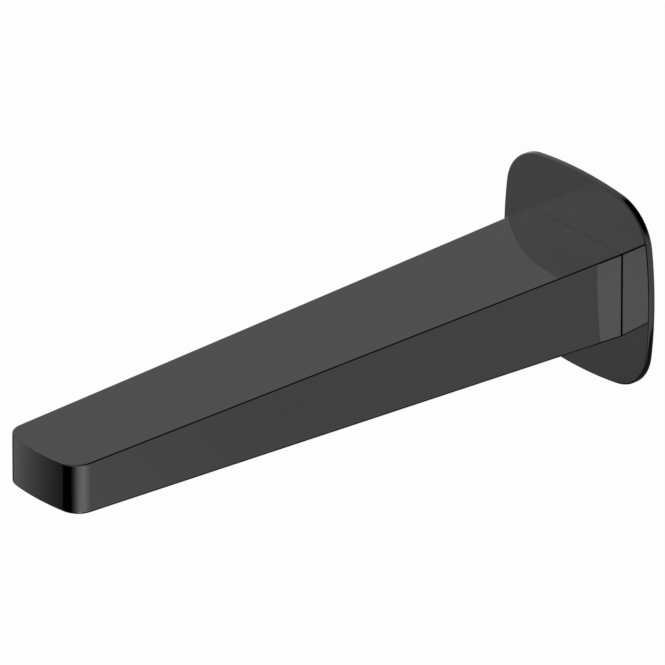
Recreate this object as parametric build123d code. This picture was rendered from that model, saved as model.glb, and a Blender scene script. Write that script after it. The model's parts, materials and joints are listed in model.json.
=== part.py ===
from build123d import *
import math
import os

# A bath spout for a tiled wall. The origin is on the wall's face, on the axis of the water inlet.
# +Z is up, and the spout reaches out from the wall along -Y. Sizes are in millimetres.

# Spout body, outside
projection = 200.0  # from the wall's face to the middle of the nose
root_width = 38.2  # across the side faces, where they meet the plate
nose_width = 29.6  # across the side faces, carried on to the nose's middle
root_height = 26.0
nose_height = 15.0
top_above_inlet = 12.2  # the level top face above the inlet's axis
nose_bow_radius = 70.0  # the nose is bowed, seen from above
nose_corner_radius = 6.0
body_edge_radius = 0.4  # every outer edge, also at the root, where it leaves a fine seam line

# Spout body, inside
body_wall = 3.0  # round the main waterway
waterway_corner_radius = 3.0
outlet_from_nose = 15.0  # from the nose's middle back to the outlet's axis
outlet_boss_wall = 3.5  # between the main waterway and the outlet's thread
chamber_roof = 2.0  # brass above the chamber over the aerator
seat_land = 1.4  # brass between the washer's seat and the feed slot

# Wall plate
plate_side = 61.0  # across the middle of opposite sides
plate_thickness = 2.2
plate_side_bow_radius = 126.0
plate_corner_radius = 14.5
plate_front_edge_radius = 0.5
plate_back_edge_radius = 0.4
plate_hole_gap = 0.3  # clearance round the nipple's thread

# Foam gasket behind the plate
gasket_from_edge = 3.0
gasket_width = 5.0
gasket_thickness = 1.0

# Two countersunk screws that hold the plate to the body
plate_screw_offset = 15.2  # each side of the inlet's axis
plate_screw_radius = 1.5
plate_screw_length = 8.0
plate_screw_head_radius = 2.8
plate_screw_head_height = 1.4
plate_screw_set_back = 0.1  # head below the wall's face
plate_screw_key = 2.0  # across the flats of its hexagon socket
plate_screw_key_depth = 1.0
plate_screw_hole_gap = 0.1  # clearance round the shank in the plate
tapped_depth_spare = 1.0  # tapped hole past the screw's end

# Inlet nipple, a G1/2 thread and a smooth spigot with grooves
thread_radius = 10.4775
thread_from_wall = 0.8  # behind the wall's face
thread_length = 13.0
thread_end_chamfer = 1.0
spigot_radius = 8.95
spigot_end = 29.0  # spigot's mouth in front of the wall's face
spigot_end_chamfer = 0.8
nipple_bore_radius = 5.8
nipple_key = 12.0  # across the flats of its hexagon socket
nipple_key_depth = 8.0
grub_groove_at = 9.5  # in front of the wall's face
grub_groove_width = 5.6
grub_groove_depth = 1.05
ring_groove_at = [15.5, 19.5]
ring_groove_width = 2.4
ring_groove_depth = 1.55

# Clearances of what fits inside what
socket_gap = 0.05  # the body's socket round the spigot
socket_end_gap = 1.5  # beyond the spigot's mouth
thread_play = 0.02
seal_play = 0.01

# Grub screw, from below into the nipple's groove
grub_radius = 2.5
grub_set_back = 0.65  # above the spout's underside
grub_key = 2.5
grub_key_depth = 2.0
grub_tip_gap = 0.05

# Aerator, a threaded ring with a stack of discs in it
aerator_thread_radius = 12.0
aerator_set_back = 0.3  # the ring's mouth above the spout's underside
aerator_ring_wall = 1.3
aerator_lip_width = 1.0
aerator_lip_thickness = 1.0
aerator_notch_count = 4
aerator_notch_width = 2.0
aerator_notch_depth = 0.9
aerator_washer_thickness = 1.4
aerator_washer_hole_radius = 9.8
disc_gap = 0.05  # between the discs' rims and the ring
grille_thickness = 1.6
grille_cell = 1.6  # across the flats of a honeycomb cell
grille_web = 0.4
grille_rim = 1.5
honeycomb_turn = 30.0  # degrees, so that the cells' flats face each other
screen_thickness = 0.3
screen_opening = 0.9
screen_wire = 0.6
screen_rim = 1.4
screen_upper_turn = 45.0  # degrees, so that its wires cross the lower screen's
cartridge_height = 2.6
cartridge_ring_wall = 1.4
cartridge_hub_radius = 3.0
cartridge_fin_count = 8
cartridge_fin_thickness = 0.8
diffuser_thickness = 1.0
diffuser_hole_count = 16
diffuser_hole_radius = 0.6
diffuser_hole_circle_radius = 7.2
strainer_rim_width = 2.0
strainer_rim_thickness = 0.5
strainer_dome_height = 1.9
strainer_dome_wall = 0.5
strainer_hole_radius = 0.5
strainer_hole_pitch = 2.2
strainer_ring_step = 6  # holes that each ring has more than the one inside it

# Places that follow from the sizes
root_y = -plate_thickness
nose_y = -projection
top_z = top_above_inlet
body_length = root_y - nose_y
side_taper = (root_width - nose_width) / 2 / body_length
underside_rise = (root_height - nose_height) / body_length
outlet_y = nose_y + outlet_from_nose
plate_hole_radius = thread_radius + plate_hole_gap
grub_groove_radius = spigot_radius - grub_groove_depth
ring_groove_radius = spigot_radius - ring_groove_depth
socket_radius = spigot_radius + socket_gap
socket_end_y = -spigot_end - socket_end_gap
waterway_end_y = outlet_y + aerator_thread_radius + outlet_boss_wall
disc_radius = aerator_thread_radius - thread_play - aerator_ring_wall - disc_gap

# Heights of the aerator's discs above the underside, stacked from the lip up
grille_low = aerator_set_back + aerator_lip_thickness
screen_lower_low = grille_low + grille_thickness
screen_upper_low = screen_lower_low + screen_thickness
cartridge_low = screen_upper_low + screen_thickness
diffuser_low = cartridge_low + cartridge_height
strainer_low = diffuser_low + diffuser_thickness
aerator_ring_top = strainer_low + strainer_rim_thickness
seat_height = aerator_ring_top + aerator_washer_thickness


def half_width(y):
    """Half the body's width at a place along Y."""
    return root_width / 2 - side_taper * (root_y - y)


def underside_z(y):
    """Height of the body's underside at a place along Y."""
    return top_z - root_height + underside_rise * (root_y - y)


# The outlet's own frame: its origin on the underside, its Z axis square to the underside and up.
outlet = Pos(0, outlet_y, underside_z(outlet_y)) * Rot(-math.degrees(math.atan(underside_rise)), 0, 0)


def turned(profile, x=0.0):
    """A turned piece with its axis along Y. The profile lists (y, radius) pairs in order."""
    face = make_face(Polyline(*[(r, y) for y, r in profile], close=True))
    return Pos(x, 0, 0) * revolve(face, Axis.Y)


def bar_along_y(radius, y_near, y_far, x=0.0):
    """A round bar along Y between two places."""
    return turned([(y_near, 0), (y_near, radius), (y_far, radius), (y_far, 0)], x)


def hexagon_along_y(across_flats, y_near, y_far, x=0.0):
    """A hexagonal bar along Y between two places."""
    hexagon = RegularPolygon(across_flats / 2, 6, major_radius=False)
    return Pos(x, y_near, 0) * extrude(Plane.XZ * hexagon, y_near - y_far)


def disc(radius, low, high, hole=0.0):
    """A disc or ring in the outlet's frame, between two heights."""
    ring = Circle(radius) - Circle(hole) if hole else Circle(radius)
    return Pos(0, 0, low) * extrude(ring, high - low)


def grid_places(pitch_x, pitch_y, reach, stagger=False):
    """Places of a grid that lie within a distance of its middle, with every second row moved if staggered."""
    rows = int(reach / pitch_y)
    columns = int(reach / pitch_x) + 1
    places = []
    for row in range(-rows, rows + 1):
        shift = pitch_x / 2 if stagger and row % 2 else 0.0
        for column in range(-columns, columns + 1):
            x = column * pitch_x + shift
            y = row * pitch_y
            if math.hypot(x, y) <= reach:
                places.append((x, y))
    return places


def body_outline():
    """The body seen from above: two tapering sides, a bowed nose and its round corners."""
    beyond = nose_y - nose_width
    sides = Polygon(
        (-half_width(root_y), root_y),
        (-half_width(beyond), beyond),
        (half_width(beyond), beyond),
        (half_width(root_y), root_y),
        align=None,
    )
    bow = Pos(0, nose_y + nose_bow_radius) * Circle(nose_bow_radius)
    waste = Pos(0, nose_y - nose_width / 2) * Rectangle(2 * root_width, 2 * nose_width) - bow
    outline = sides - waste
    return fillet(outline.vertices().sort_by(Axis.Y)[:2], nose_corner_radius)


def body_block():
    """The body's outer form, with its edges rounded."""
    plan = Pos(0, 0, top_z) * extrude(body_outline(), -2 * root_height)
    profile = Plane.YZ * Polygon(
        (root_y, top_z),
        (root_y, underside_z(root_y)),
        (nose_y, underside_z(nose_y)),
        (nose_y, top_z),
        align=None,
    )
    block = plan & extrude(profile, root_width, both=True)
    uprights = block.edges().filter_by(Axis.Z)
    nose_seams = uprights.filter_by(lambda edge: edge.center().Y < root_y - body_edge_radius)
    return fillet(block.edges() - nose_seams, body_edge_radius)


def waterway_section(y):
    """The waterway's section at a place along Y, one wall inside the body."""
    low = underside_z(y) + body_wall
    high = top_z - body_wall
    place = Plane(origin=(0, y, (low + high) / 2), x_dir=(1, 0, 0), z_dir=(0, -1, 0))
    return place * RectangleRounded(2 * (half_width(y) - body_wall), high - low, waterway_corner_radius)


def outlet_chamber():
    """The space over the aerator, and the slot that feeds it from the waterway."""
    roof_z = top_z - chamber_roof
    overlap = body_wall / 2
    bowl = outlet * disc(aerator_washer_hole_radius, seat_height, 2 * root_height)
    slot_length = waterway_end_y + overlap - outlet_y
    slot_floor = underside_z(outlet_y) + seat_height + seat_land
    slot = Pos(0, outlet_y + slot_length / 2, slot_floor) * Box(
        2 * aerator_washer_hole_radius, slot_length, 2 * root_height, align=(Align.CENTER, Align.CENTER, Align.MIN)
    )
    below_roof = Pos(0, outlet_y, roof_z) * Box(
        2 * root_width, body_length, 2 * root_height, align=(Align.CENTER, Align.CENTER, Align.MAX)
    )
    return (bowl + slot) & below_roof


def make_spout_body():
    """The cast brass body, from the plate to the nose."""
    body = body_block()
    body -= loft([waterway_section(socket_end_y), waterway_section(waterway_end_y)])
    overlap = body_wall / 2
    body -= bar_along_y(socket_radius, root_y, socket_end_y - overlap)
    body -= outlet_chamber()
    body -= outlet * disc(aerator_thread_radius, -root_height, seat_height)
    tapped_end_y = -plate_screw_set_back - plate_screw_length - tapped_depth_spare
    for x in (-plate_screw_offset, plate_screw_offset):
        body -= bar_along_y(plate_screw_radius + thread_play, root_y, tapped_end_y, x)
    grub_hole = Cylinder(grub_radius + thread_play, root_height, align=(Align.CENTER, Align.CENTER, Align.MAX))
    return body - Pos(0, -grub_groove_at, 0) * grub_hole


def plate_outline():
    """A square with bowed sides and round corners."""
    reach = plate_side_bow_radius - plate_side / 2
    across = Pos(reach, 0) * Circle(plate_side_bow_radius) & Pos(-reach, 0) * Circle(plate_side_bow_radius)
    upright = Pos(0, reach) * Circle(plate_side_bow_radius) & Pos(0, -reach) * Circle(plate_side_bow_radius)
    square = across & upright
    return fillet(square.vertices(), plate_corner_radius)


def gasket_band():
    """The flat band that the gasket covers, as a face on the wall's plane."""
    outer = offset(plate_outline(), -gasket_from_edge)
    inner = offset(plate_outline(), -gasket_from_edge - gasket_width)
    return Plane.XZ * (outer - inner)


def screw_profile(gap):
    """Half the section of a plate screw, or of its hole in the plate with a gap round it."""
    head_y = -plate_screw_set_back
    neck_y = head_y - plate_screw_head_height
    end_y = head_y - plate_screw_length
    shank = plate_screw_radius + gap
    head = plate_screw_head_radius + gap
    return [(head_y, 0), (head_y, head), (neck_y, shank), (end_y, shank), (end_y, 0)]


def make_wall_plate():
    """The cover plate, with the inlet's hole, two countersunk holes and the gasket's recess."""
    plate = extrude(Plane.XZ * plate_outline(), plate_thickness)
    front = plate.faces().sort_by(Axis.Y)[0]
    plate = fillet(front.edges(), plate_front_edge_radius)
    back = plate.faces().sort_by(Axis.Y)[-1]
    plate = fillet(back.edges(), plate_back_edge_radius)
    plate -= bar_along_y(plate_hole_radius, 0, -plate_thickness)
    plate -= extrude(gasket_band(), gasket_thickness)
    for x in (-plate_screw_offset, plate_screw_offset):
        plate -= turned(screw_profile(plate_screw_hole_gap), x)
        head = plate_screw_head_radius + plate_screw_hole_gap
        plate -= bar_along_y(head, 0, -plate_screw_set_back, x)
    return plate


def make_plate_screws():
    """Two countersunk screws with hexagon sockets, as separate solids."""
    screws = []
    for x in (-plate_screw_offset, plate_screw_offset):
        key_end_y = -plate_screw_set_back - plate_screw_key_depth
        screw = turned(screw_profile(0.0), x)
        screw -= hexagon_along_y(plate_screw_key, 0, key_end_y, x)
        screws.append(screw)
    return Compound(children=screws)


def make_plate_gasket():
    """The square foam ring, pressed level with the plate's back."""
    return extrude(gasket_band(), gasket_thickness)


def make_inlet_nipple():
    """The brass nipple that screws into the wall fitting and carries the body."""
    thread_end = thread_from_wall + thread_length + thread_end_chamfer
    ring_bottoms = []
    for at in ring_groove_at:
        near = -at + ring_groove_width / 2
        far = -at - ring_groove_width / 2
        ring_bottoms += [(near, spigot_radius), (near, ring_groove_radius)]
        ring_bottoms += [(far, ring_groove_radius), (far, spigot_radius)]
    grub_near = -grub_groove_at + grub_groove_width / 2
    grub_far = -grub_groove_at - grub_groove_width / 2
    profile = [
        (thread_end, nipple_bore_radius),
        (thread_end, thread_radius - thread_end_chamfer),
        (thread_end - thread_end_chamfer, thread_radius),
        (thread_from_wall, thread_radius),
        (thread_from_wall, spigot_radius),
        (grub_near, spigot_radius),
        (grub_near, grub_groove_radius),
        (grub_far, grub_groove_radius),
        (grub_far, spigot_radius),
        *ring_bottoms,
        (-spigot_end + spigot_end_chamfer, spigot_radius),
        (-spigot_end, spigot_radius - spigot_end_chamfer),
        (-spigot_end, nipple_bore_radius),
    ]
    nipple = turned(profile)
    return nipple - hexagon_along_y(nipple_key, -spigot_end + nipple_key_depth, -spigot_end)


def make_nipple_ring(at):
    """An O-ring squeezed between the nipple's groove and the body's socket."""
    section_radius = (socket_radius - ring_groove_radius) / 2 - seal_play
    middle = (socket_radius + ring_groove_radius) / 2
    return Pos(0, -at, 0) * Rot(90, 0, 0) * Torus(middle, section_radius)


def make_grub_screw():
    """A headless screw, its flat tip in the nipple's groove."""
    tip_z = -grub_groove_radius - grub_tip_gap
    length = tip_z - underside_z(-grub_groove_at) - grub_set_back
    screw = Cylinder(grub_radius, length, align=(Align.CENTER, Align.CENTER, Align.MAX))
    socket = extrude(RegularPolygon(grub_key / 2, 6, major_radius=False), grub_key_depth)
    screw -= Pos(0, 0, -length) * socket
    return Pos(0, -grub_groove_at, tip_z) * screw


def make_aerator_housing():
    """The threaded ring, with a lip that holds the discs and notches for its key."""
    radius = aerator_thread_radius - thread_play
    inner = radius - aerator_ring_wall
    lip_top = aerator_set_back + aerator_lip_thickness
    ring = disc(radius, aerator_set_back, aerator_ring_top, inner)
    ring += disc(inner, aerator_set_back, lip_top, inner - aerator_lip_width)
    notch = Pos(radius, 0, aerator_set_back) * Box(2 * aerator_ring_wall, aerator_notch_width, 2 * aerator_notch_depth)
    for place in PolarLocations(0, aerator_notch_count):
        ring -= place * notch
    return outlet * ring


def make_aerator_washer():
    """The flat rubber ring between the housing and its seat."""
    radius = aerator_thread_radius - thread_play
    return outlet * disc(radius, aerator_ring_top, seat_height, aerator_washer_hole_radius)


def make_aerator_grille():
    """The honeycomb that the water leaves through."""
    pitch = grille_cell + grille_web
    row_pitch = pitch * math.cos(math.radians(honeycomb_turn))
    reach = disc_radius - grille_rim - pitch / 2
    places = grid_places(pitch, row_pitch, reach, stagger=True)
    cell = RegularPolygon(grille_cell / 2, 6, major_radius=False, rotation=honeycomb_turn)
    cells = [Pos(x, y) * cell for x, y in places]
    return outlet * Pos(0, 0, grille_low) * extrude(Circle(disc_radius) - cells, grille_thickness)


def make_aerator_screen(low, turn):
    """A fine square screen, turned so that its wires cross the other screen's."""
    pitch = screen_opening + screen_wire
    places = grid_places(pitch, pitch, disc_radius - screen_rim - pitch / 2)
    openings = [Pos(x, y) * Rectangle(screen_opening, screen_opening) for x, y in places]
    return outlet * Pos(0, 0, low) * Rot(0, 0, turn) * extrude(Circle(disc_radius) - openings, screen_thickness)


def make_aerator_cartridge():
    """A ring with fins and a hub, where air joins the water."""
    inner = disc_radius - cartridge_ring_wall
    body = disc(disc_radius, cartridge_low, diffuser_low, inner)
    body += disc(cartridge_hub_radius, cartridge_low, diffuser_low)
    fin_start = cartridge_hub_radius / 2
    fin_end = disc_radius - cartridge_ring_wall / 2
    fin = Box(fin_end - fin_start, cartridge_fin_thickness, cartridge_height)
    fin = Pos((fin_start + fin_end) / 2, 0, (cartridge_low + diffuser_low) / 2) * fin
    for place in PolarLocations(0, cartridge_fin_count):
        body += place * fin
    return outlet * body


def make_aerator_diffuser():
    """A plate with one ring of jets."""
    plate = disc(disc_radius, diffuser_low, strainer_low)
    jet = disc(diffuser_hole_radius, diffuser_low, strainer_low)
    for place in PolarLocations(diffuser_hole_circle_radius, diffuser_hole_count):
        plate -= place * jet
    return outlet * plate


def make_aerator_strainer():
    """A domed strainer on a flat rim, with holes in rings."""
    inner = disc_radius - strainer_rim_width
    rim = disc(disc_radius, strainer_low, aerator_ring_top, inner - strainer_dome_wall)
    ball = (inner**2 + strainer_dome_height**2) / (2 * strainer_dome_height)
    middle = aerator_ring_top + strainer_dome_height - ball
    dome = Pos(0, 0, middle) * (Sphere(ball) - Sphere(ball - strainer_dome_wall))
    above_rim = disc(inner, strainer_low, strainer_low + 2 * ball)
    strainer = rim + (dome & above_rim)
    rings = int((inner - strainer_hole_pitch / 2) / strainer_hole_pitch)
    for ring in range(1, rings + 1):
        for place in PolarLocations(ring * strainer_hole_pitch, ring * strainer_ring_step):
            strainer -= place * disc(strainer_hole_radius, strainer_low, seat_height + strainer_dome_height)
    return outlet * strainer


def make_parts():
    """Every piece of the spout, by name."""
    parts = {
        "spout_body": make_spout_body(),
        "wall_plate": make_wall_plate(),
        "plate_screws": make_plate_screws(),
        "plate_gasket": make_plate_gasket(),
        "inlet_nipple": make_inlet_nipple(),
        "grub_screw": make_grub_screw(),
        "aerator_housing": make_aerator_housing(),
        "aerator_washer": make_aerator_washer(),
        "aerator_strainer": make_aerator_strainer(),
        "aerator_diffuser": make_aerator_diffuser(),
        "aerator_cartridge": make_aerator_cartridge(),
        "aerator_screen_upper": make_aerator_screen(screen_upper_low, screen_upper_turn),
        "aerator_screen_lower": make_aerator_screen(screen_lower_low, 0),
        "aerator_grille": make_aerator_grille(),
    }
    for name, at in zip(("nipple_o_ring_rear", "nipple_o_ring_front"), ring_groove_at):
        parts[name] = make_nipple_ring(at)
    return parts


os.makedirs("parts", exist_ok=True)
for node, shape in make_parts().items():
    export_step(shape, f"parts/{node}.step")
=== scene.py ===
import json
import math

import bmesh
import bpy
from mathutils import Matrix, Vector


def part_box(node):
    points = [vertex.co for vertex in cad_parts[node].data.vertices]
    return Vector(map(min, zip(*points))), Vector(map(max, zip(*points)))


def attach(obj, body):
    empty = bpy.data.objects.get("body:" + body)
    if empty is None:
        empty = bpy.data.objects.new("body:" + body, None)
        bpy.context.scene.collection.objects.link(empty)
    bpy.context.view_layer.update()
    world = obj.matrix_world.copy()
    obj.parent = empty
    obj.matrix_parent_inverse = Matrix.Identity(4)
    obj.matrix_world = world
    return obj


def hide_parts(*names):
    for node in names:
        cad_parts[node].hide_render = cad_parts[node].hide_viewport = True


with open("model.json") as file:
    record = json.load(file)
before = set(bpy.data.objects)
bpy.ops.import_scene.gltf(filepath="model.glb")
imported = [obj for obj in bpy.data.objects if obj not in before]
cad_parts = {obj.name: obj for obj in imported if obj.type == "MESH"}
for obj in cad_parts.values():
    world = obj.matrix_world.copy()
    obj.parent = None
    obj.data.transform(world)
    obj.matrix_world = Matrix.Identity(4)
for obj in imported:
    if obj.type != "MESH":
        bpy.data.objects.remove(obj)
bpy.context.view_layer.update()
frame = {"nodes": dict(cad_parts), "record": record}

bl_info = {
    "name": "Bath spout",
    "version": (1, 0, 0),
    "blender": (4, 5, 0),
    "location": "3D View > Sidebar > Bath spout",
    "description": "Builds a wall-mounted bath spout, with its plate, inlet nipple and aerator",
    "category": "Object",
}

MM = 0.001
FULL_TURN = 2 * math.pi
BODY = "root"
# Depth of a fine thread for each unit of its pitch.
THREAD_DEPTH = 0.6
# Quarter turns about X. The first takes +Z to +Y and +Y to -Z, and the second turns back.
Z_TO_Y = Matrix.Rotation(-math.pi / 2, 4, "X")
Y_TO_Z = Matrix.Rotation(math.pi / 2, 4, "X")
# Spreads a noise's middle values evenly to both sides of zero.
BOTH_WAYS = {"To Min": -1.0, "To Max": 1.0}
# Turns a rising value into one that falls from one to zero.
FALLING = {"To Min": 1.0, "To Max": 0.0}
METAL = 1.0
NOT_METAL = 0.0

spout_low, spout_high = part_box("spout_body")
nipple_low, nipple_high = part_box("inlet_nipple")


def length_property(name, description, default):
    """A length in metres, shown in the scene's own unit."""
    return bpy.props.FloatProperty(name=name, description=description, default=default, unit="LENGTH")


def angle_property(name, description, degrees):
    """An angle, given in degrees."""
    return bpy.props.FloatProperty(
        name=name, description=description, default=math.radians(degrees), subtype="ANGLE")


def level_property(name, description, default):
    """A level of light."""
    return bpy.props.FloatProperty(name=name, description=description, default=default, min=0)


def colour_property(name, description, default):
    """A colour between black and white."""
    return bpy.props.FloatVectorProperty(
        name=name, description=description, default=default, subtype="COLOR", min=0, max=1)


class SpoutBodySizes(bpy.types.PropertyGroup):
    """The cast body, outside and inside."""

    root_width: length_property("Root width", "Across the side faces at the plate", 38.2 * MM)
    nose_width: length_property("Nose width", "Across the side faces, carried on to the nose", 29.6 * MM)
    nose_y: length_property("Nose", "Middle of the nose along Y", spout_low.y)
    root_y: length_property("Root", "The body's end at the plate along Y", spout_high.y)
    top_z: length_property("Top", "Height of the level top face", spout_high.z)
    root_height: length_property("Root height", "Depth of the body at the plate", 26 * MM)
    nose_height: length_property("Nose height", "Depth of the body at the nose", 15 * MM)
    nose_bow_radius: length_property("Nose bow", "Radius of the nose, seen from above", 70 * MM)
    nose_corner_radius: length_property("Nose corners", "Radius of the nose's two corners", 6 * MM)
    edge_radius: length_property("Edges", "Radius of the upper edges and of the root's", 0.4 * MM)
    lower_edge_radius: length_property("Lower edges", "Radius of the edges round the underside", 0.8 * MM)
    lower_edge_drop: length_property(
        "Lower edge drop", "Lowers the underside's skin, so that its wider edges keep the outline", 0.2 * MM)
    joint_radius: length_property(
        "Joint edge", "Radius of the top edge that is ground tight to the plate", 0.06 * MM)
    wall: length_property("Wall", "Brass round the waterway", 3 * MM)
    waterway_corner_radius: length_property(
        "Waterway corners", "Radius of the waterway's long corners", 3 * MM)
    socket_radius: length_property("Socket", "Radius of the socket round the nipple", 9 * MM)
    socket_end: length_property("Socket depth", "Socket's end in front of the wall", 30.5 * MM)
    screw_offset: length_property("Plate screws", "Each screw beside the inlet's axis", 15.2 * MM)
    screw_hole_radius: length_property("Tapped holes", "Radius of the two tapped holes", 1.52 * MM)
    screw_hole_depth: length_property(
        "Tapped depth", "End of the tapped holes in front of the wall", 9.1 * MM)
    grub_at: length_property("Grub screw", "Grub screw's axis in front of the wall", 9.5 * MM)
    grub_hole_radius: length_property("Grub hole", "Radius of the grub screw's hole", 2.52 * MM)
    hole_chamfer: length_property("Hole chamfer", "Broken edge at the outlet and grub hole", 0.25 * MM)


class AeratorSizes(bpy.types.PropertyGroup):
    """The outlet and the threaded ring and discs in it."""

    from_nose: length_property("From nose", "Outlet's axis behind the nose's middle", 15 * MM)
    thread_radius: length_property("Thread", "Radius of the outlet's thread", 12 * MM)
    thread_pitch: length_property("Thread pitch", "Pitch of the outlet's thread", 1 * MM)
    play: length_property("Play", "Clearance round the threaded ring", 0.02 * MM)
    set_back: length_property("Set back", "The ring's mouth above the underside", 0.3 * MM)
    ring_wall: length_property("Ring wall", "Wall of the threaded ring", 1.3 * MM)
    ring_top: length_property("Ring top", "Top of the ring above the underside", 7.6 * MM)
    seat: length_property("Seat", "The washer's seat above the underside", 9 * MM)
    lip: length_property("Lip", "Width and height of the ring's inner lip", 1 * MM)
    collar: length_property("Collar", "Plain band between the ring's mouth and its thread", 1.2 * MM)
    ring_edge: length_property("Ring edge", "Broken edges at the ring's mouth", 0.12 * MM)
    notches: bpy.props.IntProperty(name="Notches", description="Notches for the ring's key", default=4)
    notch_width: length_property("Notch width", "Width of a notch", 2 * MM)
    notch_depth: length_property("Notch depth", "Depth of a notch", 0.9 * MM)
    chamber_radius: length_property("Chamber", "Radius of the chamber over the washer", 9.8 * MM)
    chamber_roof: length_property("Chamber roof", "Brass above the chamber", 2 * MM)
    boss_wall: length_property("Boss wall", "Brass between the waterway and the thread", 3.5 * MM)
    seat_land: length_property("Seat land", "Brass between the seat and the feed slot", 1.4 * MM)
    disc_radius: length_property("Discs", "Radius of the discs in the ring", 10.63 * MM)
    grille_thickness: length_property("Grille", "Thickness of the honeycomb", 1.6 * MM)
    cell: length_property("Cell", "Across the flats of a honeycomb cell", 1.6 * MM)
    web: length_property("Web", "Plastic between two cells", 0.4 * MM)
    grille_rim: length_property("Grille rim", "Least width of the honeycomb's rim", 1.5 * MM)
    cell_edge_radius: length_property("Cell edge", "Radius of the cells' edges at the mouth", 0.08 * MM)


class WallPlateSizes(bpy.types.PropertyGroup):
    """The square cover plate and the gasket behind it."""

    side: length_property("Side", "Across the middle of opposite sides", 61 * MM)
    thickness: length_property("Thickness", "Front to back", 2.2 * MM)
    side_bow_radius: length_property("Side bow", "Radius of each bowed side", 126 * MM)
    corner_radius: length_property("Corners", "Radius of the four corners", 14.5 * MM)
    front_edge_radius: length_property("Front edge", "Radius of the front edge", 0.5 * MM)
    back_edge_radius: length_property("Back edge", "Radius of the back edge", 0.4 * MM)
    hole_radius: length_property("Inlet hole", "Radius of the hole for the nipple", 10.7775 * MM)
    gasket_from_edge: length_property("Gasket inset", "From the plate's edge to the gasket", 3 * MM)
    gasket_width: length_property("Gasket width", "Width of the gasket's band", 5 * MM)
    gasket_thickness: length_property("Gasket thickness", "Depth of the gasket's recess", 1 * MM)
    gasket_edge_radius: length_property("Gasket edge", "Radius of the gasket's back edges", 0.15 * MM)


class ScrewSizes(bpy.types.PropertyGroup):
    """The two countersunk plate screws and the grub screw."""

    shank_radius: length_property("Shank", "Radius of a plate screw's thread", 1.5 * MM)
    pitch: length_property("Pitch", "Pitch of a plate screw's thread", 0.5 * MM)
    length: length_property("Length", "Length of a plate screw with its head", 8 * MM)
    head_radius: length_property("Head", "Radius of a plate screw's head", 2.8 * MM)
    head_height: length_property("Head height", "Height of the head's cone", 1.4 * MM)
    head_edge: length_property("Head edge", "Broken edge round a plate screw's head", 0.1 * MM)
    set_back: length_property("Set back", "The head in front of the wall's face", 0.1 * MM)
    hole_gap: length_property("Hole gap", "Clearance round the screw in the plate", 0.1 * MM)
    key: length_property("Key", "Across the flats of a plate screw's socket", 2 * MM)
    key_depth: length_property("Key depth", "Depth of a plate screw's socket", 1 * MM)
    grub_radius: length_property("Grub screw", "Radius of the grub screw's thread", 2.5 * MM)
    grub_pitch: length_property("Grub pitch", "Pitch of the grub screw's thread", 0.8 * MM)
    grub_chamfer: length_property("Grub chamfer", "Chamfer at the grub screw's socket end", 0.5 * MM)
    grub_key: length_property("Grub key", "Across the flats of the grub screw's socket", 2.5 * MM)
    grub_key_depth: length_property("Grub key depth", "Depth of the grub screw's socket", 2 * MM)


class NippleSizes(bpy.types.PropertyGroup):
    """The inlet nipple, from its thread to its mouth."""

    thread_radius: length_property("Thread", "Radius over the thread's crests", 10.4775 * MM)
    thread_pitch: length_property("Thread pitch", "Pitch of the inlet's thread", 1.814 * MM)
    thread_depth: length_property("Thread depth", "Crest to root", 1.162 * MM)
    thread_from_wall: length_property("Thread start", "Start of the thread behind the wall's face", 0.8 * MM)
    end_chamfer: length_property("End chamfer", "Chamfer at the thread's end", 1 * MM)
    spigot_radius: length_property("Spigot", "Radius of the smooth spigot", 8.95 * MM)
    mouth_chamfer: length_property("Mouth chamfer", "Chamfer at the spigot's mouth", 0.8 * MM)
    bore_radius: length_property("Bore", "Radius of the bore", 5.8 * MM)
    key: length_property("Key", "Across the flats of the mouth's socket", 12 * MM)
    key_depth: length_property("Key depth", "Depth of the mouth's socket", 8 * MM)
    grub_groove_at: length_property(
        "Grub groove", "Middle of the grub screw's groove in front of the wall", 9.5 * MM)
    grub_groove_width: length_property("Grub groove width", "Width of the grub screw's groove", 5.6 * MM)
    grub_groove_radius: length_property("Grub groove radius", "Radius at the groove's floor", 7.9 * MM)
    ring_groove_width: length_property("Ring groove width", "Width of an O-ring's groove", 2.4 * MM)
    ring_groove_radius: length_property("Ring groove radius", "Radius at an O-ring groove's floor", 7.4 * MM)


class FinishColours(bpy.types.PropertyGroup):
    """Colours of the spout's materials."""

    gunmetal: colour_property("Gunmetal", "Plating of the body, plate and ring", (0.055, 0.055, 0.056))
    brass: colour_property("Brass", "Bare turned brass", (0.66, 0.50, 0.24))
    steel: colour_property("Steel", "Stainless screws and screens", (0.55, 0.55, 0.56))
    rubber: colour_property("Rubber", "O-rings and washer", (0.02, 0.02, 0.02))
    foam: colour_property("Foam", "Gasket behind the plate", (0.04, 0.04, 0.042))
    insert: colour_property("Insert", "Pale moulded aerator insert", (0.75, 0.76, 0.76))
    grille: colour_property("Grille", "Dark moulded honeycomb", (0.05, 0.05, 0.052))


class StudioSettings(bpy.types.PropertyGroup):
    """Floor, light and camera."""

    floor_drop: length_property("Floor", "Floor below the inlet's axis", 0.35)
    world_light: level_property("World", "Level of the even light from all round", 0.83)
    key_light: level_property("Key light", "Radiance of the large soft key light", 1.5)
    panel_light: level_property("Panel", "Radiance of the small soft panel", 7.2)
    lens: bpy.props.FloatProperty(name="Lens", description="Focal length in millimetres", default=1400)
    azimuth: angle_property("Azimuth", "Camera's angle round the object", 48.753)
    elevation: angle_property("Elevation", "Camera's angle above the horizon", 27.836)
    distance: length_property("Distance", "Camera to the point that it looks at", 7.1932)
    looks_at: bpy.props.FloatVectorProperty(
        name="Looks at", description="Point at the picture's middle", subtype="XYZ",
        default=(-34.907 * MM, -61.808 * MM, -13.063 * MM))


# Helpers for meshes


def chain(bm, points):
    """A row of vertices joined by edges, as geometry for a spin."""
    verts = [bm.verts.new(p) for p in points]
    edges = [bm.edges.new(pair) for pair in zip(verts, verts[1:])]
    return verts + edges


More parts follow.
